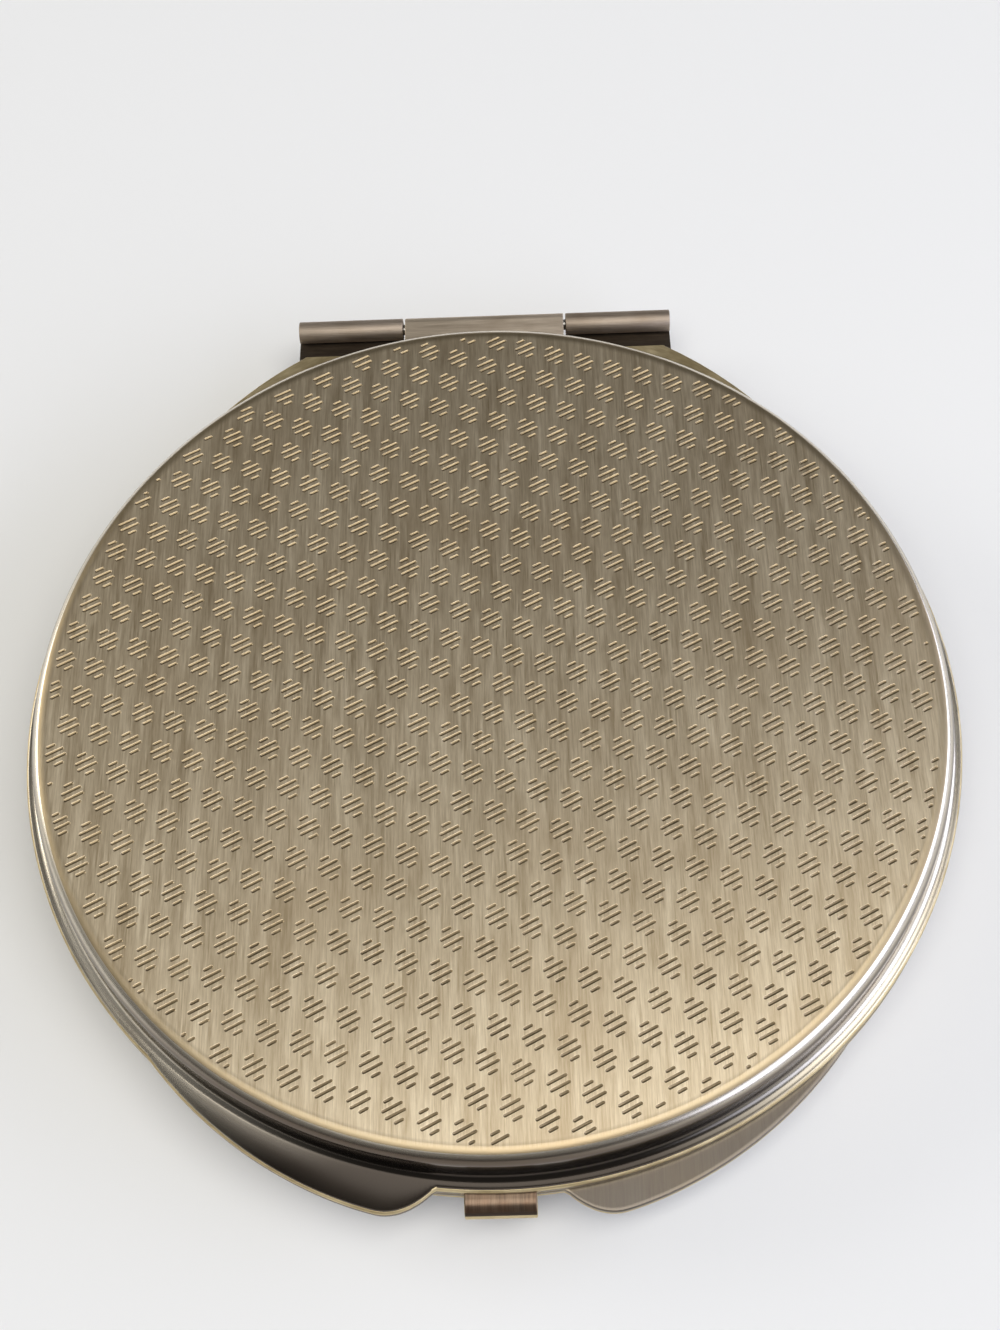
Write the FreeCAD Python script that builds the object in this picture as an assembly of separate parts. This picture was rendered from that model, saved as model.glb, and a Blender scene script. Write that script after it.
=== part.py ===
import FreeCAD, Part
import math
import os

# A round hinged pocket mirror, closed, in millimetres.
# The origin is on the table under the centre of the round base. +Z is up, the hinge is at +Y
# and the catch at -Y. The lid is the base's stamping turned half round about the Y axis.

# Round shells
lip_radius = 35.0
lip_width = 1.1
shell_sheet = 0.5
shoulder_bend = 0.4
root_bend = 0.5

# What lies in each shell, from its floor up to the frame plate
spacer_thickness = 1.2
pad_thickness = 0.6
mirror_thickness = 1.8
mirror_clearance = 1.5
mirror_chamfer = 0.2
mirror_dish = 1.07
spacer_clearance = 0.55
pad_inset = 1.0
spacer_ring_width = 4.0
pad_ring_width = 2.8

# Frame plates
plate_sheet = 0.45
plate_hold = 2.5
closing_gap = 0.2

# Thumb lift beside the catch, with angles in degrees from the front
lift_reach = 2.1
lift_start_angle = 7.2
lift_tip_angle = 13.0
lift_end_angle = 44.0

# Hinge, with the angle in degrees from the back where its shoulders leave the round lip
pin_radius = 0.45
pin_fit = 0.05
pin_end_chamfer = 0.15
barrel_length = 31.4
lid_knuckle_length = 13.4
knuckle_gap = 0.2
knuckle_seam = 0.15
hinge_offset = 2.3
back_land = 0.1
shoulder_inset = 0.6
shoulder_end_angle = 45.0

# Catch spring
catch_sheet = 0.25
catch_width = 4.9
catch_reach = 1.35
catch_grip = 0.2
catch_slack = 0.2
catch_clearance = 0.25
leaf_clearance = 0.6
leaf_bend = 0.5
foot_length = 1.6
hook_bend_share = 0.62
nib_bend_share = 0.35

# How the lift and the shoulders swell and fade: power of each curve, and steps along it
lift_rise_power = 2.0
lift_fade_power = 1.35
shoulder_fade_power = 1.1
curve_steps = 6

# How far cutting shapes reach past what they cut
overrun = 1.0

# Sizes that follow from the ones above
wall_radius = lip_radius - lip_width
pan_radius = wall_radius - shell_sheet
shoulder_radius = shoulder_bend + shell_sheet
root_edge_radius = wall_radius + root_bend
leaf_y = leaf_clearance + catch_sheet / 2 - pan_radius
mirror_radius = -leaf_y - catch_sheet / 2 - mirror_clearance
window_radius = mirror_radius - plate_hold
spacer_radius = -leaf_y - foot_length - spacer_clearance
pad_radius = spacer_radius - pad_inset
pad_top = shell_sheet + spacer_thickness + pad_thickness
shell_height = pad_top + mirror_thickness
plate_top = shell_height + plate_sheet
axis_height = plate_top + closing_gap / 2
lid_plate_face = axis_height + closing_gap / 2
lid_floor = 2 * axis_height - shell_sheet
barrel_radius = pin_radius + pin_fit + plate_sheet
hinge_y = lip_radius + hinge_offset
back_edge_y = wall_radius + back_land
corner_x = barrel_length / 2 - shoulder_inset

up = FreeCAD.Vector(0, 0, 1)
origin = FreeCAD.Vector(0, 0, 0)
along_hinge = FreeCAD.Vector(1, 0, 0)


def at_angle(radius, angle, height):
    turn = math.radians(angle)
    return FreeCAD.Vector(radius * math.cos(turn), radius * math.sin(turn), height)


def line(start, end):
    return Part.LineSegment(start, end).toShape()


def spline(points):
    curve = Part.BSplineCurve()
    curve.interpolate(points)
    return curve.toShape()


def disc(radius, bottom, top):
    return Part.makeCylinder(radius, top - bottom, FreeCAD.Vector(0, 0, bottom), up)


def ring(outer, inner, bottom, top):
    bore = disc(inner, bottom - overrun, top + overrun)
    return disc(outer, bottom, top).cut(bore)


def turned_over(shape):
    # From the base's place to the lid's: half a turn about the closed hinge plane's Y axis.
    flipped = shape.copy()
    flipped.rotate(FreeCAD.Vector(0, 0, axis_height), FreeCAD.Vector(0, 1, 0), 180)
    return flipped


def lift_edge(height):
    # The thumb lift swells steeply out of the round lip, then fades slowly back into it.
    points = []
    for step in range(curve_steps):
        part = step / curve_steps
        angle = lift_start_angle + part * (lift_tip_angle - lift_start_angle)
        reach = lift_reach * (1 - (1 - part) ** lift_rise_power)
        points.append(at_angle(lip_radius + reach, angle - 90, height))
    for step in range(curve_steps + 1):
        part = step / curve_steps
        angle = lift_tip_angle + part * (lift_end_angle - lift_tip_angle)
        reach = lift_reach * (1 - part ** lift_fade_power)
        points.append(at_angle(lip_radius + reach, angle - 90, height))
    return points


def shoulder_edge(height):
    # From the hinge's corner on the +X side, fading forwards into the round lip.
    corner_reach = math.hypot(corner_x, back_edge_y) - lip_radius
    corner_angle = math.degrees(math.atan2(corner_x, back_edge_y))
    points = []
    for step in range(curve_steps + 1):
        part = step / curve_steps
        angle = corner_angle + part * (shoulder_end_angle - corner_angle)
        reach = corner_reach * (1 - part ** shoulder_fade_power)
        points.append(at_angle(lip_radius + reach, 90 - angle, height))
    return points


def rim_outline(height):
    # The outline that a shell's lip and its frame plate share, with the lift on the +X side.
    lift = lift_edge(height)
    right = shoulder_edge(height)
    left = [FreeCAD.Vector(-point.x, point.y, point.z) for point in right]
    right_side = at_angle(lip_radius, 0, height)
    left_side = at_angle(lip_radius, 180, height)
    edges = [
        spline(lift),
        Part.Arc(lift[-1], right_side, right[-1]).toShape(),
        spline(right[::-1]),
        line(right[0], left[0]),
        spline(left),
        Part.Arc(left[-1], left_side, lift[0]).toShape(),
    ]
    return Part.Face(Part.Wire(edges))


def rim_sheet(bottom, top):
    return rim_outline(bottom).extrude(up * (top - bottom))


def pan():
    # Section of the drawn pan: floor, rounded shoulder, wall, and the root of the lip.
    lip_bottom = shell_height - shell_sheet
    root_centre = FreeCAD.Vector(root_edge_radius, 0, lip_bottom - root_bend)
    turn_centre = FreeCAD.Vector(wall_radius - shoulder_radius, 0, shoulder_radius)

    def around(centre, radius, start, end):
        spots = []
        for angle in (start, (start + end) / 2, end):
            turn = math.radians(angle)
            spots.append(centre + FreeCAD.Vector(radius * math.cos(turn), 0, radius * math.sin(turn)))
        return spots

    outer_turn = around(turn_centre, shoulder_radius, -90, 0)
    outer_root = around(root_centre, root_bend, 180, 90)
    inner_root = around(root_centre, root_bend + shell_sheet, 90, 180)
    inner_turn = around(turn_centre, shoulder_bend, 0, -90)
    floor_centre = FreeCAD.Vector(0, 0, shell_sheet)
    edges = [
        line(origin, outer_turn[0]),
        Part.Arc(*outer_turn).toShape(),
        line(outer_turn[-1], outer_root[0]),
        Part.Arc(*outer_root).toShape(),
        line(outer_root[-1], inner_root[0]),
        Part.Arc(*inner_root).toShape(),
        line(inner_root[-1], inner_turn[0]),
        Part.Arc(*inner_turn).toShape(),
        line(inner_turn[-1], floor_centre),
        line(floor_centre, origin),
    ]
    return Part.Face(Part.Wire(edges)).revolve(origin, up, 360)


def shell():
    # The lip is trimmed straight at the back, where the hinge stands close behind the wall.
    lip_bottom = shell_height - shell_sheet
    mouth = disc(root_edge_radius, lip_bottom - overrun, shell_height + overrun)
    lip = rim_sheet(lip_bottom, shell_height).cut(mouth)
    trim_depth = lip_radius - back_edge_y + overrun
    trim_corner = FreeCAD.Vector(-corner_x, back_edge_y, 0)
    trim = Part.makeBox(2 * corner_x, trim_depth, shell_height + overrun, trim_corner)
    return pan().cut(trim).fuse(lip).removeSplitter()


def knuckle(start, length, bore):
    # A tab that drops from the plate's back edge and rolls round the pin, with its seam in front.
    drop = axis_height - barrel_radius - shell_height
    corners = [
        FreeCAD.Vector(start, back_edge_y, plate_top),
        FreeCAD.Vector(start, back_edge_y, shell_height),
        FreeCAD.Vector(start, hinge_y, shell_height + drop),
        FreeCAD.Vector(start, hinge_y, plate_top + drop),
    ]
    tab = Part.Face(Part.makePolygon(corners + corners[:1])).extrude(along_hinge * length)
    end = FreeCAD.Vector(start, hinge_y, axis_height)
    barrel = Part.makeCylinder(barrel_radius, length, end, along_hinge)
    hole_start = end - along_hinge * overrun
    hole = Part.makeCylinder(bore, length + 2 * overrun, hole_start, along_hinge)
    tab_length = hinge_y - back_edge_y
    seam_height = plate_top + drop * (tab_length - barrel_radius) / tab_length
    seam_corner = FreeCAD.Vector(start - overrun, back_edge_y, seam_height)
    seam = Part.makeBox(length + 2 * overrun, tab_length, knuckle_seam, seam_corner)
    return barrel.cut(seam).fuse(tab).cut(hole)


def window_plate():
    window = disc(window_radius, shell_height - overrun, plate_top + overrun)
    return rim_sheet(shell_height, plate_top).cut(window)


def base_frame_plate():
    inner_end = lid_knuckle_length / 2 + knuckle_gap
    length = barrel_length / 2 - inner_end
    plate = window_plate()
    for start in (inner_end, -inner_end - length):
        plate = plate.fuse(knuckle(start, length, pin_radius))
    return plate.removeSplitter()


def lid_frame_plate():
    plate = window_plate().fuse(knuckle(-lid_knuckle_length / 2, lid_knuckle_length, pin_radius + pin_fit))
    notch_width = catch_width + 2 * catch_clearance
    notch_depth = leaf_y + catch_sheet / 2 + catch_clearance + lip_radius + overrun
    notch_corner = FreeCAD.Vector(-notch_width / 2, -lip_radius - overrun, shell_height - overrun)
    notch = Part.makeBox(notch_width, notch_depth, plate_sheet + 2 * overrun, notch_corner)
    return turned_over(plate.removeSplitter().cut(notch))


def flat_mirror():
    glass = disc(mirror_radius, pad_top, shell_height)
    rims = [edge for edge in glass.Edges if edge.Closed]
    return glass.makeChamfer(mirror_chamfer, rims)


def dished_mirror():
    # Bent glass of even thickness, hollow towards the viewer and seated against the plate.
    sphere = (mirror_radius ** 2 + mirror_dish ** 2) / (2 * mirror_dish)
    half_way = mirror_radius / 2
    half_dish = mirror_dish - sphere + math.sqrt(sphere ** 2 - half_way ** 2)

    def face(height):
        bottom = FreeCAD.Vector(0, 0, height - mirror_dish)
        middle = FreeCAD.Vector(half_way, 0, height - half_dish)
        return [bottom, middle, FreeCAD.Vector(mirror_radius, 0, height)]

    front = face(shell_height)
    back = face(pad_top)
    edges = [
        Part.Arc(*front).toShape(),
        line(front[-1], back[-1]),
        Part.Arc(*back[::-1]).toShape(),
        line(back[0], front[0]),
    ]
    return Part.Face(Part.Wire(edges)).revolve(origin, up, 360)


def spacer_disc():
    return disc(spacer_radius, shell_sheet, shell_sheet + spacer_thickness)


def spacer_ring():
    return ring(spacer_radius, spacer_radius - spacer_ring_width, shell_sheet, shell_sheet + spacer_thickness)


def pad_disc():
    return disc(pad_radius, shell_sheet + spacer_thickness, pad_top)


def pad_ring():
    whole = ring(pad_radius, pad_radius - pad_ring_width, shell_sheet + spacer_thickness, pad_top)
    return whole.cut(dished_mirror())


def hinge_pin():
    start = FreeCAD.Vector(-barrel_length / 2, hinge_y, axis_height)
    wire = Part.makeCylinder(pin_radius, barrel_length, start, along_hinge)
    ends = [edge for edge in wire.Edges if edge.Closed]
    return wire.makeChamfer(pin_end_chamfer, ends)


def bent_path(corners, radii):
    # Straight runs between the corners, with a tangent arc of the given radius at each inner one.
    edges = []
    start = corners[0]
    for before, corner, after, radius in zip(corners, corners[1:], corners[2:], radii):
        towards = (before - corner).normalize()
        onwards = (after - corner).normalize()
        half_turn = towards.getAngle(onwards) / 2
        tangent = radius / math.tan(half_turn)
        inwards = (towards + onwards).normalize()
        middle = corner + inwards * (radius / math.sin(half_turn) - radius)
        arc_start = corner + towards * tangent
        arc_end = corner + onwards * tangent
        edges.append(line(start, arc_start))
        edges.append(Part.Arc(arc_start, middle, arc_end).toShape())
        start = arc_end
    edges.append(line(start, corners[-1]))
    return Part.Wire(edges)


def catch_spring():
    # Foot on the lid's floor, leaf down inside the wall, out under the lip, and round the base's rim.
    foot_height = lid_floor - catch_sheet / 2
    strip_height = lid_plate_face + catch_sheet / 2
    nib_height = shell_height - shell_sheet - catch_slack - catch_sheet / 2
    hook_y = catch_sheet / 2 - lip_radius - catch_reach
    hook_height = strip_height - nib_height
    places = [
        (leaf_y + foot_length, foot_height),
        (leaf_y, foot_height),
        (leaf_y, strip_height),
        (hook_y, strip_height),
        (hook_y, nib_height),
        (catch_grip - lip_radius, nib_height),
    ]
    corners = [FreeCAD.Vector(0, y, z) for y, z in places]
    radii = [leaf_bend, leaf_bend, hook_height * hook_bend_share, hook_height * nib_bend_share]
    side = FreeCAD.Vector(catch_width / 2, 0, 0)
    half_sheet = up * (catch_sheet / 2)
    start = corners[0]
    section = [start + side + half_sheet, start - side + half_sheet,
               start - side - half_sheet, start + side - half_sheet]
    profile = Part.makePolygon(section + section[:1])
    return bent_path(corners, radii).makePipeShell([profile], True, False)


nodes = {
    "base_shell": shell(),
    "base_spacer_ring": spacer_ring(),
    "base_mirror_pad": pad_ring(),
    "base_mirror": dished_mirror(),
    "base_frame_plate": base_frame_plate(),
    "hinge_pin": hinge_pin(),
    "lid_shell": turned_over(shell()),
    "lid_spacer_disc": turned_over(spacer_disc()),
    "lid_mirror_pad": turned_over(pad_disc()),
    "lid_mirror": turned_over(flat_mirror()),
    "lid_frame_plate": lid_frame_plate(),
    "catch_spring": catch_spring(),
}

os.makedirs("parts", exist_ok=True)
for name, shape in nodes.items():
    shape.exportStep("parts/" + name + ".step")
    print(name, "valid", shape.isValid(), "solids", len(shape.Solids), "volume", round(shape.Volume, 2))
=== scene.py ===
import math
import bpy
import bmesh
from mathutils import Matrix, Vector


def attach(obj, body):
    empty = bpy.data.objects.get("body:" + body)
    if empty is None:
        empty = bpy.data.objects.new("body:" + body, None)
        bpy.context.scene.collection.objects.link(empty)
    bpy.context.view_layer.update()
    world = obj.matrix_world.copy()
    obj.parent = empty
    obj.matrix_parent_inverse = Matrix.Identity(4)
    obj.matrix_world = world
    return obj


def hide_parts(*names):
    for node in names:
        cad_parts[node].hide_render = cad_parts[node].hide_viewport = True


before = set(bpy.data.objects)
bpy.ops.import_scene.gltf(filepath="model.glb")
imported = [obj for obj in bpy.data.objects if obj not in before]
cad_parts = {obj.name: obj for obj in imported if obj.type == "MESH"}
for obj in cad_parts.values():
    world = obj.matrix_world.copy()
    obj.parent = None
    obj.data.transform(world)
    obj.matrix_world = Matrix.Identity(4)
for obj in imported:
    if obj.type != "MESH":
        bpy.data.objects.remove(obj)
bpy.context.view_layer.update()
mm = 0.001  # sizes below are in millimetres, the scene is in metres
close = {"cut": 1e-8, "weld": 1e-7, "match": 1e-6, "ring": 1e-5}  # how close counts as the same, in metres
print("frame loaded:", len(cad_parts), "CAD nodes")


def linearColour(code):  # sRGB hex to the linear values that sockets take
    parts = [int(code[i:i + 2], 16) / 255 for i in (1, 3, 5)]
    return [c / 12.92 if c < 0.04045 else ((c + 0.055) / 1.055) ** 2.4 for c in parts] + [1.0]


def addNode(tree, kind, settings={}, inputs={}):  # one node with its settings, and its values or links
    node = tree.nodes.new(kind)
    for name, value in settings.items():
        setattr(node, name, value)
    for name, value in inputs.items():
        if isinstance(value, bpy.types.NodeSocket):
            tree.links.new(value, node.inputs[name])
        else:
            node.inputs[name].default_value = value
    return node


def startMaterial(name):
    material = bpy.data.materials.new(name)
    material.use_nodes = True
    tree = material.node_tree
    where = addNode(tree, "ShaderNodeTexCoord").outputs["Object"]
    return material, tree, tree.nodes["Principled BSDF"], where


# Sockets that go by number, because a Mix node repeats its socket names for each kind of data
mixBy, floatA, floatB, colourA, colourB, colourOut = 0, 2, 3, 6, 7, 2
fromLow, fromHigh, toLow, toHigh = 1, 2, 3, 4  # of a Map Range
mixColours = {"data_type": "RGBA"}
smooth = {"interpolation_type": "SMOOTHSTEP"}
realSize = {"vector_type": "TEXTURE"}  # a Mapping whose scale is the size of the marks

# Shared by all brass: detail and roughness of its noises, and the span of them that tone, stain and gloss read
brassNoise = {
    "streak": (5.0, 0.7), "band": (2.0, 0.5), "cloudDetail": 3.0,
    "tone": (0.32, 0.68), "stain": (0.46, 0.74), "gloss": (0.3, 0.7), "lacquerRough": 0.15,
}


# Brass sheet, antiqued and then brushed back: fine scratches in one direction, brown left in the hollows
def brassMaterial(name, look):
    material, tree, shader, place = startMaterial(name)
    where = place
    if "around" in look or "ring" in look:
        level = addNode(tree, "ShaderNodeVectorMath", {"operation": "MULTIPLY"},
                        {0: place, 1: (1, 1, 0)}).outputs[0]
        radius = addNode(tree, "ShaderNodeVectorMath", {"operation": "LENGTH"}, {0: level}).outputs["Value"]
    if "around" in look:  # polishing marks run round the case, so the pattern reads radius, turn and height
        axes = addNode(tree, "ShaderNodeSeparateXYZ", {}, {0: place}).outputs
        turn = addNode(tree, "ShaderNodeMath", {"operation": "ARCTAN2"},
                       {0: axes["Y"], 1: axes["X"]}).outputs[0]
        arc = addNode(tree, "ShaderNodeMath", {"operation": "MULTIPLY"},
                      {0: turn, 1: look["around"] * mm}).outputs[0]
        where = addNode(tree, "ShaderNodeCombineXYZ", {}, {"X": radius, "Y": arc, "Z": axes["Z"]}).outputs[0]
    noise = {}
    for kind in ("streak", "band"):
        detail, fineness = brassNoise[kind]
        at = addNode(tree, "ShaderNodeMapping", realSize,
                     {"Vector": where, "Scale": [s * mm for s in look[kind]]}).outputs[0]
        noise[kind] = addNode(tree, "ShaderNodeTexNoise", {}, {
            "Vector": at, "Scale": 1.0, "Detail": detail, "Roughness": fineness}).outputs["Fac"]
    cloud = addNode(tree, "ShaderNodeTexNoise", {}, {
        "Vector": where, "Scale": 1 / (look["cloud"] * mm), "Detail": brassNoise["cloudDetail"]}).outputs["Fac"]
    both = addNode(tree, "ShaderNodeMix", {}, {
        mixBy: look["bandShare"], floatA: noise["streak"], floatB: noise["band"]}).outputs[0]
    low, high = brassNoise["tone"]
    tone = addNode(tree, "ShaderNodeMapRange", {}, {0: both, fromLow: low, fromHigh: high}).outputs[0]
    brushed = addNode(tree, "ShaderNodeMix", mixColours, {
        mixBy: tone, colourA: linearColour(look["low"]), colourB: linearColour(look["high"])}).outputs[colourOut]
    if "ring" in look:  # outside a circle the sheet has another colour, which hides most of the scratches
        inner, outer, ringColour, ringShare = look["ring"]
        ring = addNode(tree, "ShaderNodeMapRange", {}, {
            0: radius, fromLow: inner * mm, fromHigh: outer * mm, toHigh: ringShare}).outputs[0]
        brushed = addNode(tree, "ShaderNodeMix", mixColours, {
            mixBy: ring, colourA: brushed, colourB: linearColour(ringColour)}).outputs[colourOut]
    low, high = brassNoise["stain"]
    stain = addNode(tree, "ShaderNodeMapRange", {}, {
        0: cloud, fromLow: low, fromHigh: high, toHigh: look["stainShare"]}).outputs[0]
    colour = addNode(tree, "ShaderNodeMix", mixColours, {
        mixBy: stain, colourA: brushed, colourB: linearColour(look["stain"])}).outputs[colourOut]
    low, high = brassNoise["gloss"]
    rough = addNode(tree, "ShaderNodeMapRange", {}, {
        0: both, fromLow: low, fromHigh: high, toLow: look["rough"][0], toHigh: look["rough"][1]}).outputs[0]
    if "patina" in look:  # painted shade: darker by height from the piece's middle, where the buffed colour gives way
        shadeLook = look["patina"]
        fromMiddle = addNode(tree, "ShaderNodeVectorMath", {"operation": "SUBTRACT"},
                             {0: place, 1: (0, 0, shadeLook["middle"] * mm)}).outputs[0]
        height = addNode(tree, "ShaderNodeSeparateXYZ", {}, {0: fromMiddle}).outputs["Z"]
        away = addNode(tree, "ShaderNodeMath", {"operation": "ABSOLUTE"}, {0: height}).outputs[0]
        low, high = shadeLook["buffed"]
        bright = addNode(tree, "ShaderNodeMapRange", smooth, {
            0: away, fromLow: low * mm, fromHigh: high * mm}).outputs[0]
        shade = linearColour(shadeLook["wall"])
        if "lip" in shadeLook:  # painted light: the wall's far end and the lip turn pale towards the sides and back, and keep painted shade in front
            low, high = shadeLook["polished"]
            onTop = addNode(tree, "ShaderNodeMapRange", smooth, {
                0: away, fromLow: low * mm, fromHigh: high * mm}).outputs[0]
            low, high = shadeLook["lip"]
            onLip = addNode(tree, "ShaderNodeMapRange", smooth, {
                0: away, fromLow: low * mm, fromHigh: high * mm, toLow: 1.0, toHigh: 0.0}).outputs[0]
            for zone, (way, low, high) in ((onTop, shadeLook["reach"]), (onLip, shadeLook["lipReach"])):
                alongWay = addNode(tree, "ShaderNodeVectorMath", {"operation": "DOT_PRODUCT"},
                                  {0: place, 1: way}).outputs["Value"]
                painted_light = addNode(tree, "ShaderNodeMapRange", smooth, {
                    0: alongWay, fromLow: low * mm, fromHigh: high * mm}).outputs[0]
                pale = addNode(tree, "ShaderNodeMath", {"operation": "MULTIPLY"}, {0: zone, 1: painted_light}).outputs[0]
                bright = addNode(tree, "ShaderNodeMath", {"operation": "MAXIMUM"}, {0: bright, 1: pale}).outputs[0]
            shade = addNode(tree, "ShaderNodeMix", mixColours, {
                mixBy: onLip, colourA: shade, colourB: linearColour(shadeLook["lipShade"])}).outputs[colourOut]
        colour = addNode(tree, "ShaderNodeMix", mixColours, {
            mixBy: bright, colourA: shade, colourB: colour}).outputs[colourOut]
        rough = addNode(tree, "ShaderNodeMix", {}, {
            mixBy: bright, floatA: shadeLook["rough"], floatB: rough}).outputs[0]
    bump = addNode(tree, "ShaderNodeBump", {}, {
        "Strength": 1.0, "Distance": look["depth"] * mm, "Height": noise["streak"]}).outputs[0]
    for value, socket in ((colour, "Base Color"), (rough, "Roughness"), (bump, "Normal")):
        tree.links.new(value, shader.inputs[socket])
    shader.inputs["Metallic"].default_value = 1.0
    shader.inputs["Coat Weight"].default_value = look.get("lacquer", 0.0)
    shader.inputs["Coat Roughness"].default_value = brassNoise["lacquerRough"]
    if "grain" in look:  # scratches spread a reflection across themselves; a quarter turn is for scratches along X
        tangent = addNode(tree, "ShaderNodeTangent", {"direction_type": "UV_MAP", "uv_map": "brushing"}).outputs[0]
        tree.links.new(tangent, shader.inputs["Tangent"])
        shader.inputs["Anisotropic"].default_value = look["grain"][0]
        shader.inputs["Anisotropic Rotation"].default_value = look["grain"][1]
    return material


# The lid's flat: straight brushing towards the hinge, olive gold with darker threads
brushedBrass = brassMaterial("antique_brass_brushed", {
    "low": "#c2ac88", "high": "#f8e8c9", "stain": "#bda37d", "stainShare": 0.3,
    "streak": (0.11, 2.8, 0.11), "band": (0.9, 14.0, 0.9), "bandShare": 0.3, "cloud": 9.0,
    "rough": (0.36, 0.46), "depth": 0.005, "grain": (0.35, 0.0), "ring": (32.5, 33.1, "#a39274", 1.0)})
# Shoulder, wall and lip: buffed round and lacquered, with painted shade on the wall and on the lip in front, and
# painted light on the wall's far end and the lip towards the sides and back
buffedBrass = brassMaterial("antique_brass_buffed_painted_shade", {
    "low": "#d2c7b3", "high": "#eae1d0", "stain": "#bcae95", "stainShare": 0.3,
    "streak": (0.08, 6.0, 0.08), "band": (0.5, 12.0, 0.5), "bandShare": 0.3, "cloud": 6.0, "around": 34.0,
    "rough": (0.24, 0.32), "depth": 0.0006, "lacquer": 0.2,
    "patina": {"wall": "#62564a", "lipShade": "#322c26", "rough": 0.22, "middle": 4.65,
               "buffed": (4.2, 4.6), "polished": (3.8, 4.4), "lip": (1.3, 1.8),
               "reach": ((0.2, 0.98, 0.0), -34.0, -24.0), "lipReach": ((0.0, 1.0, 0.0), -33.5, -21.0)}})
# Sheet edges: rubbed bright by pockets and thumbs; on the catch's lower bend the same pale brass is a painted
# highlight
edgeAndSheenBrass = brassMaterial("antique_brass_worn_edge_and_sheen", {
    "low": "#b8a47b", "high": "#e0cfa6", "stain": "#9a855a", "stainShare": 0.5,
    "streak": (0.2, 1.2, 0.2), "band": (0.6, 3.0, 0.6), "bandShare": 0.4, "cloud": 2.5, "around": 35.0,
    "rough": (0.42, 0.56), "depth": 0.001})
# Pressed dashes: duller brown that the brushing could not reach, dark in front and pale towards the hinge
groovePatina = brassMaterial("antique_brass_patina", {
    "low": "#84745a", "high": "#ab9877", "stain": "#6d5d42", "stainShare": 0.5,
    "streak": (0.2, 0.2, 0.2), "band": (3.0, 3.0, 3.0), "bandShare": 0.5, "cloud": 1.5,
    "rough": (0.32, 0.45), "depth": 0.002})
# Frame plates: fine brushing towards the hinge, and a darker grey outside the case's rim, on the lift that stands
# out of it
plateBrass = brassMaterial("frame_brass_brushed", {
    "low": "#a5967b", "high": "#d3c5a7", "stain": "#84755c", "stainShare": 0.25,
    "streak": (0.1, 3.0, 0.1), "band": (0.7, 9.0, 0.7), "bandShare": 0.3, "cloud": 7.0,
    "rough": (0.34, 0.46), "depth": 0.003, "grain": (0.6, 0.0), "ring": (34.6, 35.2, "#5d5755", 0.8)})
# Rolled knuckles: the plate's sheet, drawn along the barrel
knuckleBrass = brassMaterial("frame_brass_rolled", {
    "low": "#998a7a", "high": "#c2b3a1", "stain": "#87735d", "stainShare": 0.35,
    "streak": (2.5, 0.09, 0.09), "band": (7.0, 0.5, 0.5), "bandShare": 0.3, "cloud": 3.0,
    "rough": (0.50, 0.62), "depth": 0.002})
# Middle knuckle: a paler copy of the knuckle brass, painted light for the highlight along its round barrel
litKnuckleBrass = brassMaterial("frame_brass_painted_light", {
    "low": "#b9a893", "high": "#dccdb8", "stain": "#a08b73", "stainShare": 0.35,
    "streak": (2.5, 0.09, 0.09), "band": (7.0, 0.5, 0.5), "bandShare": 0.3, "cloud": 3.0,
    "rough": (0.44, 0.56), "depth": 0.002, "grain": (0.4, 0.25)})
# Hollow in front of the outer knuckles: painted shade, dark brown where the lid's edge shades the tab
shadedTabBrass = brassMaterial("frame_brass_painted_shade", {
    "low": "#433a31", "high": "#5b5145", "stain": "#362e26", "stainShare": 0.4,
    "streak": (2.5, 0.1, 0.1), "band": (5.0, 0.5, 0.5), "bandShare": 0.3, "cloud": 2.0,
    "rough": (0.42, 0.55), "depth": 0.002})
# Catch: hard spring strip, polished, with scratches along the bend, and painted shade across the hook's front,
# darker round its middle height
springBrass = brassMaterial("spring_brass_polished_painted_shade", {
    "low": "#3f352d", "high": "#8a7663", "stain": "#775640", "stainShare": 0.5,
    "streak": (0.1, 2.0, 2.0), "band": (0.4, 6.0, 6.0), "bandShare": 0.4, "cloud": 1.6,
    "rough": (0.26, 0.38), "depth": 0.002,
    "patina": {"wall": "#40362e", "rough": 0.3, "middle": 3.9, "buffed": (0.6, 0.85)}})
# Hinge pin: drawn steel wire, grey with lines along its length
steelWire = brassMaterial("drawn_steel_wire", {
    "low": "#9c9992", "high": "#c4c1ba", "stain": "#7d776d", "stainShare": 0.3,
    "streak": (3.0, 0.06, 0.06), "band": (6.0, 0.3, 0.3), "bandShare": 0.3, "cloud": 2.0,
    "rough": (0.24, 0.36), "depth": 0.001})


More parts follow.
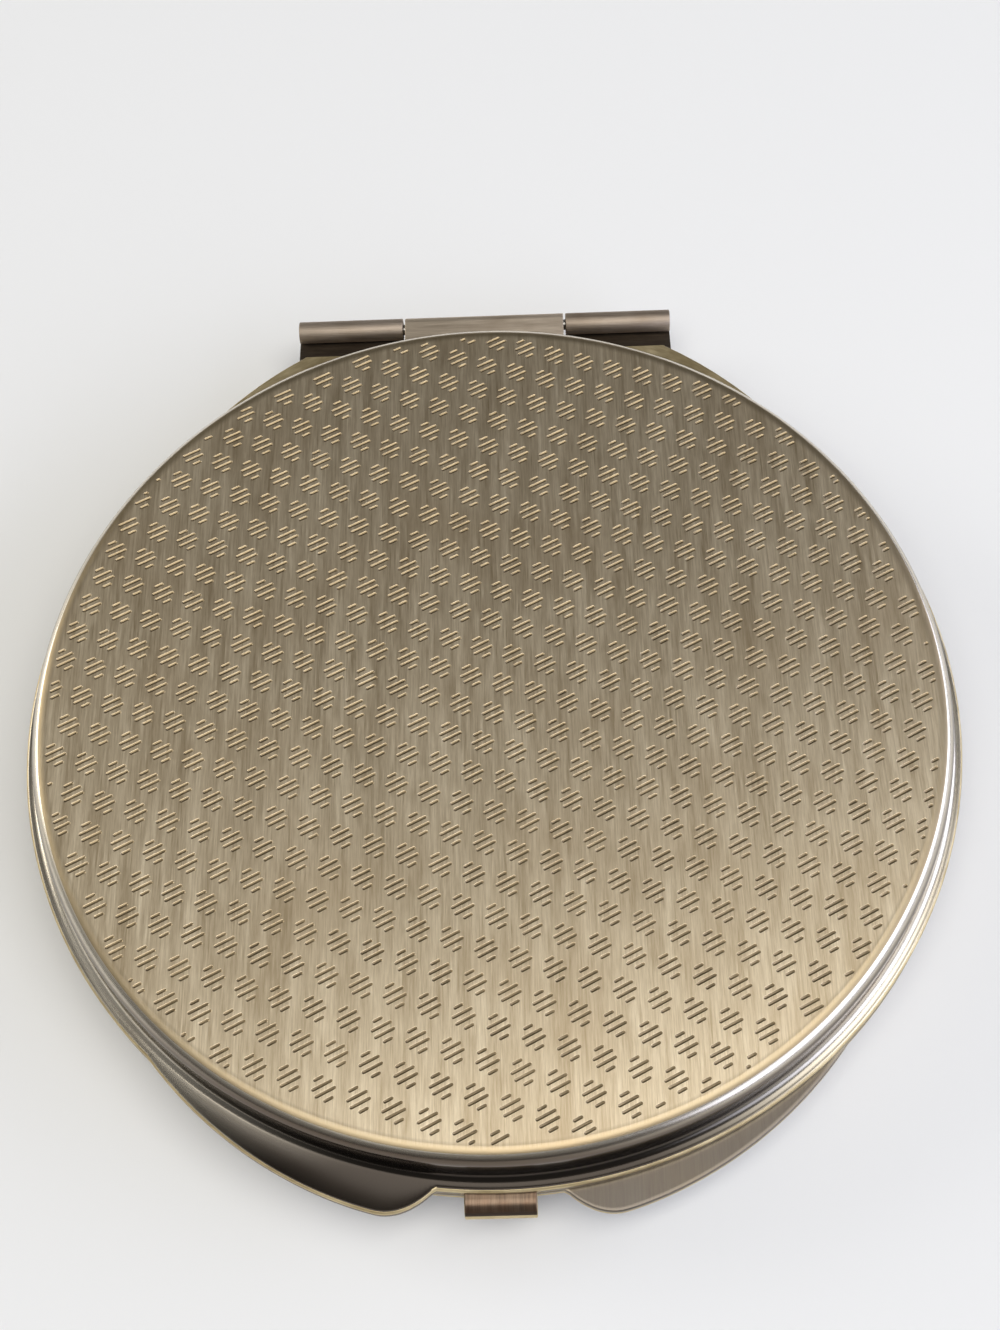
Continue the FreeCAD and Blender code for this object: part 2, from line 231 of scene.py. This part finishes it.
# Silvered float glass: clear reflection, a trace of dust and hairline wipe marks
def glassMaterial(name, look):
    material, tree, shader, where = startMaterial(name)
    wipeAt = addNode(tree, "ShaderNodeMapping", realSize, {
        "Vector": where, "Rotation": (0, 0, look["wipeTurn"]), "Scale": [s * mm for s in look["wipe"]]}).outputs[0]
    wipe = addNode(tree, "ShaderNodeTexNoise", {}, {
        "Vector": wipeAt, "Scale": 1.0, "Detail": look["wipeDetail"]}).outputs["Fac"]
    dust = addNode(tree, "ShaderNodeTexVoronoi", {}, {
        "Vector": where, "Scale": 1 / (look["dustSpacing"] * mm)}).outputs["Distance"]
    speck = addNode(tree, "ShaderNodeMapRange", {}, {0: dust, fromLow: look["dustShare"], fromHigh: 0.0}).outputs[0]
    silver, dusty = linearColour(look["silver"]), linearColour(look["dust"])
    colour = addNode(tree, "ShaderNodeMix", mixColours, {
        mixBy: speck, colourA: silver, colourB: dusty}).outputs[colourOut]
    low, high = look["wiped"]
    haze = addNode(tree, "ShaderNodeMapRange", {}, {
        0: wipe, fromLow: low, fromHigh: high, toLow: look["rough"][0], toHigh: look["rough"][1]}).outputs[0]
    rough = addNode(tree, "ShaderNodeMath", {"operation": "MULTIPLY_ADD"},
                    {0: speck, 1: look["dustRough"], 2: haze}).outputs[0]
    tree.links.new(colour, shader.inputs["Base Color"])
    tree.links.new(rough, shader.inputs["Roughness"])
    shader.inputs["Metallic"].default_value = 1.0
    return material


silveredGlass = glassMaterial("silvered_glass", {
    "silver": "#f1f4f2", "dust": "#d8d6cf", "dustSpacing": 2.2, "dustShare": 0.05, "dustRough": 0.4,
    "wipe": (0.4, 9.0, 0.4), "wipeTurn": 0.5, "wipeDetail": 4.0, "wiped": (0.5, 0.8), "rough": (0.012, 0.05)})


# Foam tape and card: dull, open surfaces that lie behind the glass
def paperMaterial(name, look):
    material, tree, shader, where = startMaterial(name)
    grainAt = addNode(tree, "ShaderNodeMapping", realSize, {
        "Vector": where, "Scale": [s * mm for s in look["grain"]]}).outputs[0]
    grain = addNode(tree, "ShaderNodeTexNoise", {}, {
        "Vector": grainAt, "Scale": 1.0, "Detail": look["detail"], "Roughness": look["fineness"]}).outputs["Fac"]
    colour = addNode(tree, "ShaderNodeMix", mixColours, {
        mixBy: grain, colourA: linearColour(look["low"]), colourB: linearColour(look["high"])}).outputs[colourOut]
    rough = addNode(tree, "ShaderNodeMapRange", {}, {
        0: grain, toLow: look["rough"][0], toHigh: look["rough"][1]}).outputs[0]
    bump = addNode(tree, "ShaderNodeBump", {}, {"Distance": look["depth"] * mm, "Height": grain}).outputs[0]
    for value, socket in ((colour, "Base Color"), (rough, "Roughness"), (bump, "Normal")):
        tree.links.new(value, shader.inputs[socket])
    return material


foamTape = paperMaterial("foam_tape", {
    "low": "#d5d4cc", "high": "#ecebe4", "grain": (0.25, 0.25, 0.25), "detail": 4.0, "fineness": 0.7,
    "rough": (0.8, 0.95), "depth": 0.06})
greyCard = paperMaterial("grey_card", {
    "low": "#a39378", "high": "#c2b395", "grain": (0.15, 1.1, 0.15), "detail": 4.0, "fineness": 0.7,
    "rough": (0.82, 0.95), "depth": 0.02})
print("materials made:", len(bpy.data.materials))


# The rim that the lips and the frame plates share, in the base's place with the thumb lift at +X
rim = {
    "radius": 35.0, "liftReach": 2.1, "liftStart": 7.2, "liftTip": 13.0, "liftEnd": 44.0,
    "riseCurve": 2.0, "fadeCurve": 1.35, "cornerX": 15.1, "backEdge": 34.0, "shoulderEnd": 45.0,
    "shoulderCurve": 1.1, "movesFrom": 34.6, "steps": 720, "doublings": 4, "axisHeight": 4.65,
}


def rimGrowth(angle, spare):  # how far the rim stands past its round radius, at an angle from the front
    fromBack = 180 - abs(angle)
    corner = math.degrees(math.atan2(rim["cornerX"], rim["backEdge"]))
    if rim["liftStart"] < angle <= rim["liftTip"]:
        part = (angle - rim["liftStart"]) / (rim["liftTip"] - rim["liftStart"])
        return rim["liftReach"] * (1 - (1 - part) ** rim["riseCurve"])
    if rim["liftTip"] < angle < rim["liftEnd"]:
        part = (angle - rim["liftTip"]) / (rim["liftEnd"] - rim["liftTip"])
        return rim["liftReach"] * (1 - part ** rim["fadeCurve"])
    if fromBack < corner:
        straight = rim["backEdge"] / math.cos(math.radians(fromBack)) - rim["radius"]
        return max(straight + spare, 0.0) if spare else straight
    if fromBack < rim["shoulderEnd"]:
        part = (fromBack - corner) / (rim["shoulderEnd"] - corner)
        atCorner = math.hypot(rim["cornerX"], rim["backEdge"]) - rim["radius"]
        return atCorner * (1 - part ** rim["shoulderCurve"])
    return 0.0


def bentLine(bm, points, bends, closed=False):  # a line through points, rounded at each corner that has a bend
    corners = [bm.verts.new([size * mm for size in point]) for point in points]
    for a, b in zip(corners, corners[1:] + (corners[:1] if closed else [])):
        bm.edges.new((a, b))
    for corner, (bend, cuts) in zip(corners, bends):
        if bend:
            bmesh.ops.bevel(bm, geom=[corner], offset=bend * mm, offset_type="OFFSET", affect="VERTICES",
                            segments=cuts, profile=0.5, material=-1)


def spunSheet(profile, closed, spare):  # a bent profile, spun, with its rim drawn out to the outline
    bm = bmesh.new()
    points = [(radius, 0, height) for radius, height, bend, cuts in profile]
    bentLine(bm, points, [(bend, cuts) for radius, height, bend, cuts in profile], closed)
    parts = 2 ** rim["doublings"]  # one part is spun, then doubled up to the full round, which is quicker
    turn = math.tau / parts
    bmesh.ops.spin(bm, geom=bm.verts[:] + bm.edges[:], cent=(0, 0, 0), axis=(0, 0, 1), angle=turn,
                   steps=rim["steps"] // parts)
    for doubling in range(rim["doublings"]):
        copy = bmesh.ops.duplicate(bm, geom=bm.verts[:] + bm.edges[:] + bm.faces[:])["geom"]
        bmesh.ops.rotate(bm, verts=[part for part in copy if isinstance(part, bmesh.types.BMVert)],
                         cent=(0, 0, 0), matrix=Matrix.Rotation(turn, 3, "Z"))
        turn *= 2
    bmesh.ops.remove_doubles(bm, verts=bm.verts[:], dist=close["weld"])
    for vert in bm.verts:
        radius = math.hypot(vert.co.x, vert.co.y)
        if radius > rim["movesFrom"] * mm:
            grown = 1 + rimGrowth(math.degrees(math.atan2(vert.co.x, -vert.co.y)), spare) * mm / radius
            vert.co.x *= grown
            vert.co.y *= grown
    return bm


def turnOver(bm):  # from the base's place to the lid's
    bmesh.ops.rotate(bm, verts=bm.verts[:], cent=(0, 0, rim["axisHeight"] * mm),
                     matrix=Matrix.Rotation(math.pi, 3, "Y"))


finish = {"sharpAngle": 50, "brushingSpan": 80.0}  # edges that stay sharp, and the width of the brushing map


def makePiece(bm, name, materials, body, slot, *nodes):  # mesh to object, riding on its body
    for face in bm.faces:  # filled floors stay flat
        face.smooth = face.smooth or len(face.verts) == 4
    for edge in bm.edges:
        edge.smooth = len(edge.link_faces) == 2 and edge.calc_face_angle() < math.radians(finish["sharpAngle"])
    brushing = bm.loops.layers.uv.new("brushing")
    for face in bm.faces:
        for corner in face.loops:
            corner[brushing].uv = corner.vert.co.xy / (finish["brushingSpan"] * mm) + Vector((0.5, 0.5))
    mesh = bpy.data.meshes.new(name)
    bm.to_mesh(mesh)
    bm.free()
    for material in materials:
        mesh.materials.append(material)
    piece = bpy.data.objects.new(name, mesh)
    bpy.context.scene.collection.objects.link(piece)
    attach(piece, body)
    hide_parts(*nodes)
    print(name, "made:", len(mesh.polygons), "faces")
    return piece


# Engraved field on the lid: clusters of four slanted dashes on a turned square lattice
engraving = {
    "edge": 32.74, "field": 32.72, "top": 9.3,
    "pitch": 2.467, "rowTurn": -18.5, "dashTurn": 26.5, "nearMiddle": (-0.56, -3.73), "rows": 14,
    "dashes": (  # offset, length, shift
        (0.79, 0.78, 0.0), (0.26, 1.6, 0.01), (-0.26, 1.6, 0.01), (-0.79, 0.78, 0.0)),
    "width": 0.28, "corners": 10, "shortest": 0.34, "trim": 0.05, "trims": 24,
    "sides": ((0.02, 0.006), (0.095, 0.064)),  # width and depth of the edge, then of the slope
}
onFlat, onGroove, onShoulder, onEdge = range(4)  # material slots of the shells


def engravedField():
    e = engraving
    bm = bmesh.new()
    along = Vector((math.cos(math.radians(e["dashTurn"])), math.sin(math.radians(e["dashTurn"])), 0))
    across = Vector((-along.y, along.x, 0))
    row = Vector((math.cos(math.radians(e["rowTurn"])), math.sin(math.radians(e["rowTurn"])), 0)) * e["pitch"] * mm
    column = Vector((-row.y, row.x, 0))
    start = Vector((*e["nearMiddle"], e["top"])) * mm - (row + column) * e["rows"]
    turn = Matrix.Rotation(math.radians(e["dashTurn"] + 180 / e["corners"]), 4, "Z")
    for offset, length, shift in e["dashes"]:
        middle = start + (across * offset + along * shift) * mm
        dash = bmesh.ops.create_circle(bm, cap_ends=True, segments=e["corners"], radius=e["width"] / 2 * mm,
                                       matrix=Matrix.Translation(middle) @ turn)
        for vert in dash["verts"]:
            vert.co += along * math.copysign((length - e["width"]) / 2 * mm, (vert.co - middle).dot(along))
    for way in (row, column):  # one cluster to a row, one row to the whole lattice
        first = bm.verts[:] + bm.edges[:] + bm.faces[:]
        for step in range(1, 2 * e["rows"] + 1):
            copy = bmesh.ops.duplicate(bm, geom=first)["geom"]
            bmesh.ops.translate(bm, verts=[v for v in copy if isinstance(v, bmesh.types.BMVert)], vec=way * step)
    limit = e["field"] * mm
    outside = []
    for dash in bm.faces:  # dashes stop short at the edge of the field
        middle = dash.calc_center_median()
        for way in (along, -along):
            end = [vert for vert in dash.verts if (vert.co - middle).dot(way) > 0]
            for back in range(e["trims"]):
                if max(vert.co.xy.length for vert in end) > limit:
                    for vert in end:
                        vert.co -= way * e["trim"] * mm
        reach = [vert.co.dot(along) for vert in dash.verts]
        if max(vert.co.xy.length for vert in dash.verts) > limit or max(reach) - min(reach) < e["shortest"] * mm:
            outside.append(dash)
    bmesh.ops.delete(bm, geom=outside, context="FACES")
    dashes = bm.faces[:]
    bmesh.ops.create_circle(bm, cap_ends=False, segments=rim["steps"], radius=e["edge"] * mm,
                            matrix=Matrix.Translation((0, 0, e["top"] * mm)))
    bmesh.ops.triangle_fill(bm, use_beauty=True, use_dissolve=False, edges=bm.edges[:], normal=(0, 0, 1))
    for face in bm.faces:
        if face.normal.z < 0:
            face.normal_flip()
    for width, depth in e["sides"]:  # brushed edge, then a slope down to a narrow floor
        sides = bmesh.ops.inset_individual(bm, faces=dashes, thickness=width * mm, depth=-depth * mm)["faces"]
        for face in dashes:
            face.material_index = onGroove
    for face in sides:
        face.material_index = onGroove
    mesh = bpy.data.meshes.new("engravedField")
    bm.to_mesh(mesh)
    bm.free()
    print("dashes engraved:", len(dashes))
    return mesh


# Shells: floor, rounded shoulder, wall, lip with its thumb lift, and back along the inside
shell = {
    "profile": (  # radius, height, bend, cuts
        (32.74, 0.0, 0, 0), (33.9, 0.0, 1.15, 10), (33.9, 3.6, 0.75, 9), (34.7, 3.6, 0, 0),
        (34.75, 3.6, 0, 0), (35.0, 3.6, 0.22, 5), (35.0, 4.1, 0.12, 3), (34.75, 4.1, 0, 0),
        (33.4, 4.1, 1.25, 4), (33.4, 0.5, 0.6, 2), (32.74, 0.5, 0, 0)),
    "spare": 0.3, "midFloor": 0.2, "edgeFrom": 34.86, "wornBack": (10.0, 24.0), "wornTo": 34.1, "brushedTo": 0.15,
}


def pressedShell(name, body, node, field):
    bm = spunSheet(shell["profile"], False, shell["spare"])
    trim = bmesh.ops.bisect_plane(bm, geom=bm.verts[:] + bm.edges[:] + bm.faces[:], dist=close["cut"],
                                  plane_co=(0, rim["backEdge"] * mm, 0), plane_no=(0, 1, 0), clear_outer=True)
    cut = [edge for edge in trim["geom_cut"] if isinstance(edge, bmesh.types.BMEdge)]
    bmesh.ops.holes_fill(bm, edges=cut, sides=0)
    floors = {True: [], False: []}  # open edges of the inner floor, and of the outer one
    for edge in bm.edges:
        if edge.is_boundary:
            floors[edge.verts[0].co.z > shell["midFloor"] * mm].append(edge)
    bmesh.ops.contextual_create(bm, geom=floors[True])
    wornFrom, wornFull = shell["wornBack"]
    for face in bm.faces:  # brushing runs onto the shoulder, the rest is buffed, with a bright sheet edge
        middle = face.calc_center_median()
        wear = max(0.0, min(1.0, (middle.y / mm - wornFrom) / (wornFull - wornFrom)))
        edgeAt = shell["edgeFrom"] + rimGrowth(math.degrees(math.atan2(middle.x, -middle.y)), 0)
        edgeAt = (edgeAt * (1 - wear) + shell["wornTo"] * wear) * mm
        face.material_index = onFlat if middle.z < shell["brushedTo"] * mm else onShoulder
        if middle.xy.length > edgeAt:
            face.material_index = onEdge
    if field:
        turnOver(bm)
        bm.from_mesh(field)
        seam = [v for v in bm.verts if abs(v.co.xy.length - engraving["edge"] * mm) < close["ring"]]
        bmesh.ops.remove_doubles(bm, verts=seam, dist=close["match"])
    else:
        for face in bmesh.ops.contextual_create(bm, geom=floors[False])["faces"]:
            face.material_index = onFlat
    bmesh.ops.recalc_face_normals(bm, faces=bm.faces[:])
    makePiece(bm, name, (brushedBrass, groovePatina, buffedBrass, edgeAndSheenBrass), body, "antique_brass", node)


pressedShell("lidShellEngraved", "lid", "lid_shell", engravedField())
pressedShell("baseShellPressed", "base", "base_shell", None)


# Frame plates: flat rings round the mirrors, with the hinge knuckles rolled from their back edges
plate = {
    "profile": (  # radius, height, bend, cuts
        (28.55, 4.1, 0.1, 2), (28.85, 4.1, 0, 0), (34.7, 4.1, 0, 0), (35.0, 4.1, 0.1, 2),
        (35.0, 4.55, 0.1, 2), (34.7, 4.55, 0, 0), (28.85, 4.55, 0, 0), (28.55, 4.55, 0.1, 2)),
    "sheet": 0.45, "top": 4.55, "hingeY": 37.3, "bore": 0.5, "tabFrom": 33.5, "tabSink": 0.005, "tabTo": 36.3,
    "rollTurn": 287, "rollSteps": 40, "rollRound": 0.06, "rollCuts": 2, "squareAngle": 60,
    "baseKnuckles": ((6.9, 8.8), (-15.7, 8.8)), "lidKnuckles": ((-6.7, 13.4),),  # start along X, length
    "notchHalf": 2.7, "notchTo": -32.3, "notchWithin": (6.0, -25.0),
}
onBarrel, onTab = 1, 2  # material slots of the knuckles, after the plate's own


def rolledKnuckle(start, length):  # a tab that leaves the plate's edge and rolls round the pin
    bm = bmesh.new()
    tabTop = plate["top"] - plate["tabSink"]
    underPin = rim["axisHeight"] - plate["bore"]
    path = ((plate["tabFrom"], tabTop), (rim["backEdge"], tabTop), (plate["hingeY"], underPin))
    edge = bm.edges.new([bm.verts.new((x * mm, path[0][0] * mm, path[0][1] * mm)) for x in (start, start + length)])
    for y, z in path[1:]:
        made = bmesh.ops.extrude_edge_only(bm, edges=[edge])["geom"]
        edge = next(part for part in made if isinstance(part, bmesh.types.BMEdge))
        for vert in edge.verts:
            vert.co.y, vert.co.z = y * mm, z * mm
    bmesh.ops.spin(bm, geom=[*edge.verts, edge], cent=(0, plate["hingeY"] * mm, rim["axisHeight"] * mm),
                   axis=(1, 0, 0), angle=math.radians(plate["rollTurn"]), steps=plate["rollSteps"])
    bmesh.ops.recalc_face_normals(bm, faces=bm.faces[:])
    tab = min(bm.faces, key=lambda face: face.calc_center_median().y)
    if tab.normal.z < 0:
        bmesh.ops.reverse_faces(bm, faces=bm.faces[:])
    bmesh.ops.solidify(bm, geom=bm.faces[:], thickness=plate["sheet"] * mm)
    bmesh.ops.recalc_face_normals(bm, faces=bm.faces[:])
    square = [edge for edge in bm.edges
              if len(edge.link_faces) == 2 and edge.calc_face_angle() > math.radians(plate["squareAngle"])]
    bmesh.ops.bevel(bm, geom=square, offset=plate["rollRound"] * mm, offset_type="OFFSET", affect="EDGES",
                    segments=plate["rollCuts"], profile=0.5, material=-1)
    for face in bm.faces:  # the tab in front of the barrel has its own slot, which carries painted shade on the base
        face.material_index = onBarrel if face.calc_center_median().y > plate["tabTo"] * mm else onTab
    mesh = bpy.data.meshes.new("rolledKnuckle")
    bm.to_mesh(mesh)
    bm.free()
    return mesh


def cutNotch(bm):  # room for the catch at the front of the lid's plate
    half, inner = plate["notchHalf"] * mm, plate["notchTo"] * mm
    side, front = [size * mm for size in plate["notchWithin"]]
    for spot, way in (((half, 0, 0), (1, 0, 0)), ((-half, 0, 0), (1, 0, 0)), ((0, inner, 0), (0, 1, 0))):
        near = [face for face in bm.faces
                if face.calc_center_median().y < front and abs(face.calc_center_median().x) < side]
        parts = {part for face in near for part in (face, *face.edges, *face.verts)}
        bmesh.ops.bisect_plane(bm, geom=list(parts), dist=close["cut"], plane_co=spot, plane_no=way)
    gone = [face for face in bm.faces
            if abs(face.calc_center_median().x) < half and face.calc_center_median().y < inner]
    bmesh.ops.delete(bm, geom=gone, context="FACES")
    for x in (-half, half):  # an upright edge in each inner corner, so that each wall is a flat loop
        bm.edges.new([vert for vert in bm.verts if vert.is_boundary
                      and abs(vert.co.x - x) < close["match"] and abs(vert.co.y - inner) < close["match"]])
    bmesh.ops.edgenet_fill(bm, edges=[edge for edge in bm.edges if len(edge.link_faces) < 2])


def framePlate(name, body, node, knuckles, isLid):
    bm = spunSheet(plate["profile"], True, 0)
    if isLid:
        cutNotch(bm)
    bmesh.ops.recalc_face_normals(bm, faces=bm.faces[:])
    for start, length in knuckles:
        bm.from_mesh(rolledKnuckle(start, length))
    if isLid:
        turnOver(bm)
    # the base's tabs take painted shade, and the lid's knuckle the paler copy, painted light
    rolled = (litKnuckleBrass, litKnuckleBrass) if isLid else (knuckleBrass, shadedTabBrass)
    makePiece(bm, name, (plateBrass,) + rolled, body, "frame_brass", node)


framePlate("basePlateRolled", "base", "base_frame_plate", plate["baseKnuckles"], False)
framePlate("lidPlateRolled", "lid", "lid_frame_plate", plate["lidKnuckles"], True)


# Hinge pin: steel wire with chamfered ends
pin = {"radius": 0.45, "half": 15.7, "chamfer": (0.15, 2), "steps": 32}


def hingeWire():
    bm = bmesh.new()
    outline = ((-pin["half"], 0), (-pin["half"], pin["radius"]), (pin["half"], pin["radius"]), (pin["half"], 0))
    points = [(x, plate["hingeY"], rim["axisHeight"] + z) for x, z in outline]
    bentLine(bm, points, [(0, 0), pin["chamfer"], pin["chamfer"], (0, 0)])
    bmesh.ops.spin(bm, geom=bm.verts[:] + bm.edges[:], cent=(0, plate["hingeY"] * mm, rim["axisHeight"] * mm),
                   axis=(1, 0, 0), angle=math.tau, steps=pin["steps"], use_merge=True)
    bmesh.ops.remove_doubles(bm, verts=bm.verts[:], dist=close["match"])
    bmesh.ops.recalc_face_normals(bm, faces=bm.faces[:])
    makePiece(bm, "hingeWire", (steelWire,), "base", "steel_wire", "hinge_pin")


hingeWire()


# Catch: a strip from the lid's floor, down the wall, out under the lip and round the base's rim
catch = {
    "path": (  # y, z, bend
        (-31.075, 8.675, 0), (-32.675, 8.675, 0.5), (-32.675, 4.875, 0.5),
        (-36.225, 4.875, 0.992), (-36.225, 3.275, 0.56), (-34.8, 3.275, 0)),
    "width": 4.9, "sheet": 0.25, "cuts": 8, "round": 0.09, "roundCuts": 2, "sheenBelow": 4.25,
}
onStrip, onWornAndSheen = range(2)  # material slots of the catch


def catchStrip():
    bm = bmesh.new()
    points = [(-catch["width"] / 2, y, z) for y, z, bend in catch["path"]]
    bentLine(bm, points, [(bend, catch["cuts"]) for y, z, bend in catch["path"]])
    wide = bmesh.ops.extrude_edge_only(bm, edges=bm.edges[:])["geom"]
    bmesh.ops.translate(bm, verts=[v for v in wide if isinstance(v, bmesh.types.BMVert)],
                        vec=(catch["width"] * mm, 0, 0))
    bmesh.ops.recalc_face_normals(bm, faces=bm.faces[:])
    for face in bm.faces:  # painted highlight: the hook's lower bend takes the pale edge brass
        face.material_index = onWornAndSheen if face.calc_center_median().z < catch["sheenBelow"] * mm else onStrip
    piece = makePiece(bm, "catchStrip", (springBrass, edgeAndSheenBrass), "catch", "spring_brass", "catch_spring")
    thick = piece.modifiers.new("sheet", "SOLIDIFY")
    thick.thickness = catch["sheet"] * mm
    thick.offset = 0
    thick.use_even_offset = True
    thick.material_offset_rim = onWornAndSheen  # the strip's cut edges are rubbed bright
    edges = piece.modifiers.new("rubbedEdges", "BEVEL")
    edges.width = catch["round"] * mm
    edges.segments = catch["roundCuts"]
    edges.limit_method = "ANGLE"
    edges.angle_limit = math.radians(finish["sharpAngle"])


catchStrip()


# Mirrors: the lid's is flat, the base's is dished to magnify
mirror = {
    "radius": 31.05, "sheet": 1.8, "chamfer": (0.2, 1), "dish": 1.07, "lidFace": 5.2, "baseFace": 4.1,
    "longEdge": 5.0, "rings": 24, "steps": 180,
}


def mirrorGlass(name, body, node, front, thickness, dish):
    bm = bmesh.new()
    back = front + thickness
    points = ((0, 0, back), (mirror["radius"], 0, back), (mirror["radius"], 0, front), (0, 0, front))
    bentLine(bm, points, [(0, 0), mirror["chamfer"], mirror["chamfer"], (0, 0)])
    long = [edge for edge in bm.edges if edge.calc_length() > mirror["longEdge"] * mm]
    bmesh.ops.subdivide_edges(bm, edges=long, cuts=mirror["rings"])
    for vert in bm.verts:
        vert.co.z -= dish * mm * (1 - (vert.co.x / (mirror["radius"] * mm)) ** 2)
    bmesh.ops.spin(bm, geom=bm.verts[:] + bm.edges[:], cent=(0, 0, 0), axis=(0, 0, 1), angle=math.tau,
                   steps=mirror["steps"], use_merge=True)
    bmesh.ops.remove_doubles(bm, verts=bm.verts[:], dist=close["weld"])
    bmesh.ops.recalc_face_normals(bm, faces=bm.faces[:])
    for face in bm.faces:
        face.smooth = True
    makePiece(bm, name, (silveredGlass,), body, "silvered_glass", node)


mirrorGlass("lidMirrorFlat", "lid", "lid_mirror", mirror["lidFace"], mirror["sheet"], 0)
mirrorGlass("baseMirrorDished", "base", "base_mirror", mirror["baseFace"], -mirror["sheet"], mirror["dish"])

# Foam and card behind the glass keep their CAD shapes
padding = {
    "lid_mirror_pad": foamTape, "base_mirror_pad": foamTape,
    "lid_spacer_disc": greyCard, "base_spacer_ring": greyCard,
}
for name, material in padding.items():
    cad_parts[name].data.materials.clear()
    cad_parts[name].data.materials.append(material)
print("padding finished")


# Stage: pale floor, a soft box above the viewer and one at each side, camera as in the photograph
stage = {
    "floorHalf": 3000.0, "floorCuts": 8, "floorDrop": 0.02, "floorColour": "#efeeea", "floorRough": 0.9,
    "background": "#ededed", "fade": (110.0, 300.0),  # the far floor melts into the backdrop between these
    "camera": (3.324, -59.552, 129.625), "cameraTurn": (27.264, 1.760, -1.093),
    "lens": 49.48, "sensor": 36.0, "clipFrom": 5.0,
    "lamps": {  # place, aim, size in mm, power in watts, colour
        "frontBox": ((50, -128, 640), (0, 0, 5), (850, 400), 3.15, "#fffefc"),
        "leftBox": ((-525, 225, 230), (0, 0, 5), (260, 390), 1.05, "#fffdf8"),
        "rightBox": ((610, -110, 285), (0, 0, 5), (1360, 360), 4.7, "#dbe3ff"),
    },
    "shadedWay": (0.0, 0.45, 0.9),  # the sky is darkest this way, above and behind the hinge
    "sky": ((-1.0, 0.25), (0.45, 0.25), (0.85, 0.1), (1.0, 0.08)),  # how far that way, from -1 to 1, and brightness
}
bm = bmesh.new()
bmesh.ops.create_grid(bm, x_segments=stage["floorCuts"], y_segments=stage["floorCuts"],
                      size=stage["floorHalf"] * mm)
bmesh.ops.translate(bm, verts=bm.verts[:], vec=(0, 0, -stage["floorDrop"] * mm))
mesh = bpy.data.meshes.new("floor")
bm.to_mesh(mesh)
bm.free()
floor = bpy.data.objects.new("floor", mesh)
bpy.context.scene.collection.objects.link(floor)
material, tree, shader, where = startMaterial("pale_matte_floor")
shader.inputs["Base Color"].default_value = linearColour(stage["floorColour"])
shader.inputs["Roughness"].default_value = stage["floorRough"]
distance = addNode(tree, "ShaderNodeVectorMath", {"operation": "LENGTH"}, {0: where}).outputs["Value"]
far = addNode(tree, "ShaderNodeMapRange", smooth, {
    0: distance, fromLow: stage["fade"][0] * mm, fromHigh: stage["fade"][1] * mm}).outputs[0]
looked = addNode(tree, "ShaderNodeLightPath").outputs["Is Camera Ray"]
share = addNode(tree, "ShaderNodeMath", {"operation": "MULTIPLY"}, {0: far, 1: looked}).outputs[0]
backdrop = addNode(tree, "ShaderNodeEmission", {}, {"Color": linearColour(stage["background"])}).outputs[0]
surface = addNode(tree, "ShaderNodeMixShader", {}, {0: share, 1: shader.outputs[0], 2: backdrop}).outputs[0]
tree.links.new(surface, tree.nodes["Material Output"].inputs["Surface"])
mesh.materials.append(material)

for name, (place, aim, size, power, tint) in stage["lamps"].items():
    lamp = bpy.data.lights.new(name, "AREA")
    lamp.shape = "RECTANGLE"
    lamp.size, lamp.size_y = size[0] * mm, size[1] * mm
    lamp.energy = power
    lamp.color = linearColour(tint)[:3]
    holder = bpy.data.objects.new(name, lamp)
    holder.location = Vector(place) * mm
    holder.rotation_euler = (Vector(aim) - Vector(place)).to_track_quat("-Z", "Y").to_euler()
    bpy.context.scene.collection.objects.link(holder)

world = bpy.data.worlds.new("softStudio")
bpy.context.scene.world = world
world.use_nodes = True
tree = world.node_tree
way = addNode(tree, "ShaderNodeTexCoord").outputs["Generated"]
towards = addNode(tree, "ShaderNodeVectorMath", {"operation": "DOT_PRODUCT"},
                  {0: way, 1: Vector(stage["shadedWay"]).normalized()}).outputs["Value"]
part = addNode(tree, "ShaderNodeMapRange", {}, {0: towards, fromLow: -1.0, fromHigh: 1.0}).outputs[0]
sky = addNode(tree, "ShaderNodeValToRGB", {}, {0: part})
stops = sky.color_ramp.elements
while len(stops) < len(stage["sky"]):
    stops.new(0.5)
for stop, (level, bright) in zip(stops, stage["sky"]):
    stop.position = (level + 1) / 2
    stop.color = (bright, bright, bright, 1.0)
seen = addNode(tree, "ShaderNodeLightPath").outputs["Is Camera Ray"]
shown = addNode(tree, "ShaderNodeMix", mixColours, {
    mixBy: seen, colourA: sky.outputs[0], colourB: linearColour(stage["background"])}).outputs[colourOut]
tree.links.new(shown, tree.nodes["Background"].inputs["Color"])

lens = bpy.data.cameras.new("camera")
lens.lens = stage["lens"]
lens.sensor_width = stage["sensor"]
lens.clip_start = stage["clipFrom"] * mm
camera = bpy.data.objects.new("camera", lens)
camera.location = Vector(stage["camera"]) * mm
camera.rotation_euler = [math.radians(turn) for turn in stage["cameraTurn"]]
bpy.context.scene.collection.objects.link(camera)
bpy.context.scene.camera = camera
bpy.context.scene.view_settings.view_transform = "Standard"
print("stage set")

bpy.context.view_layer.update()
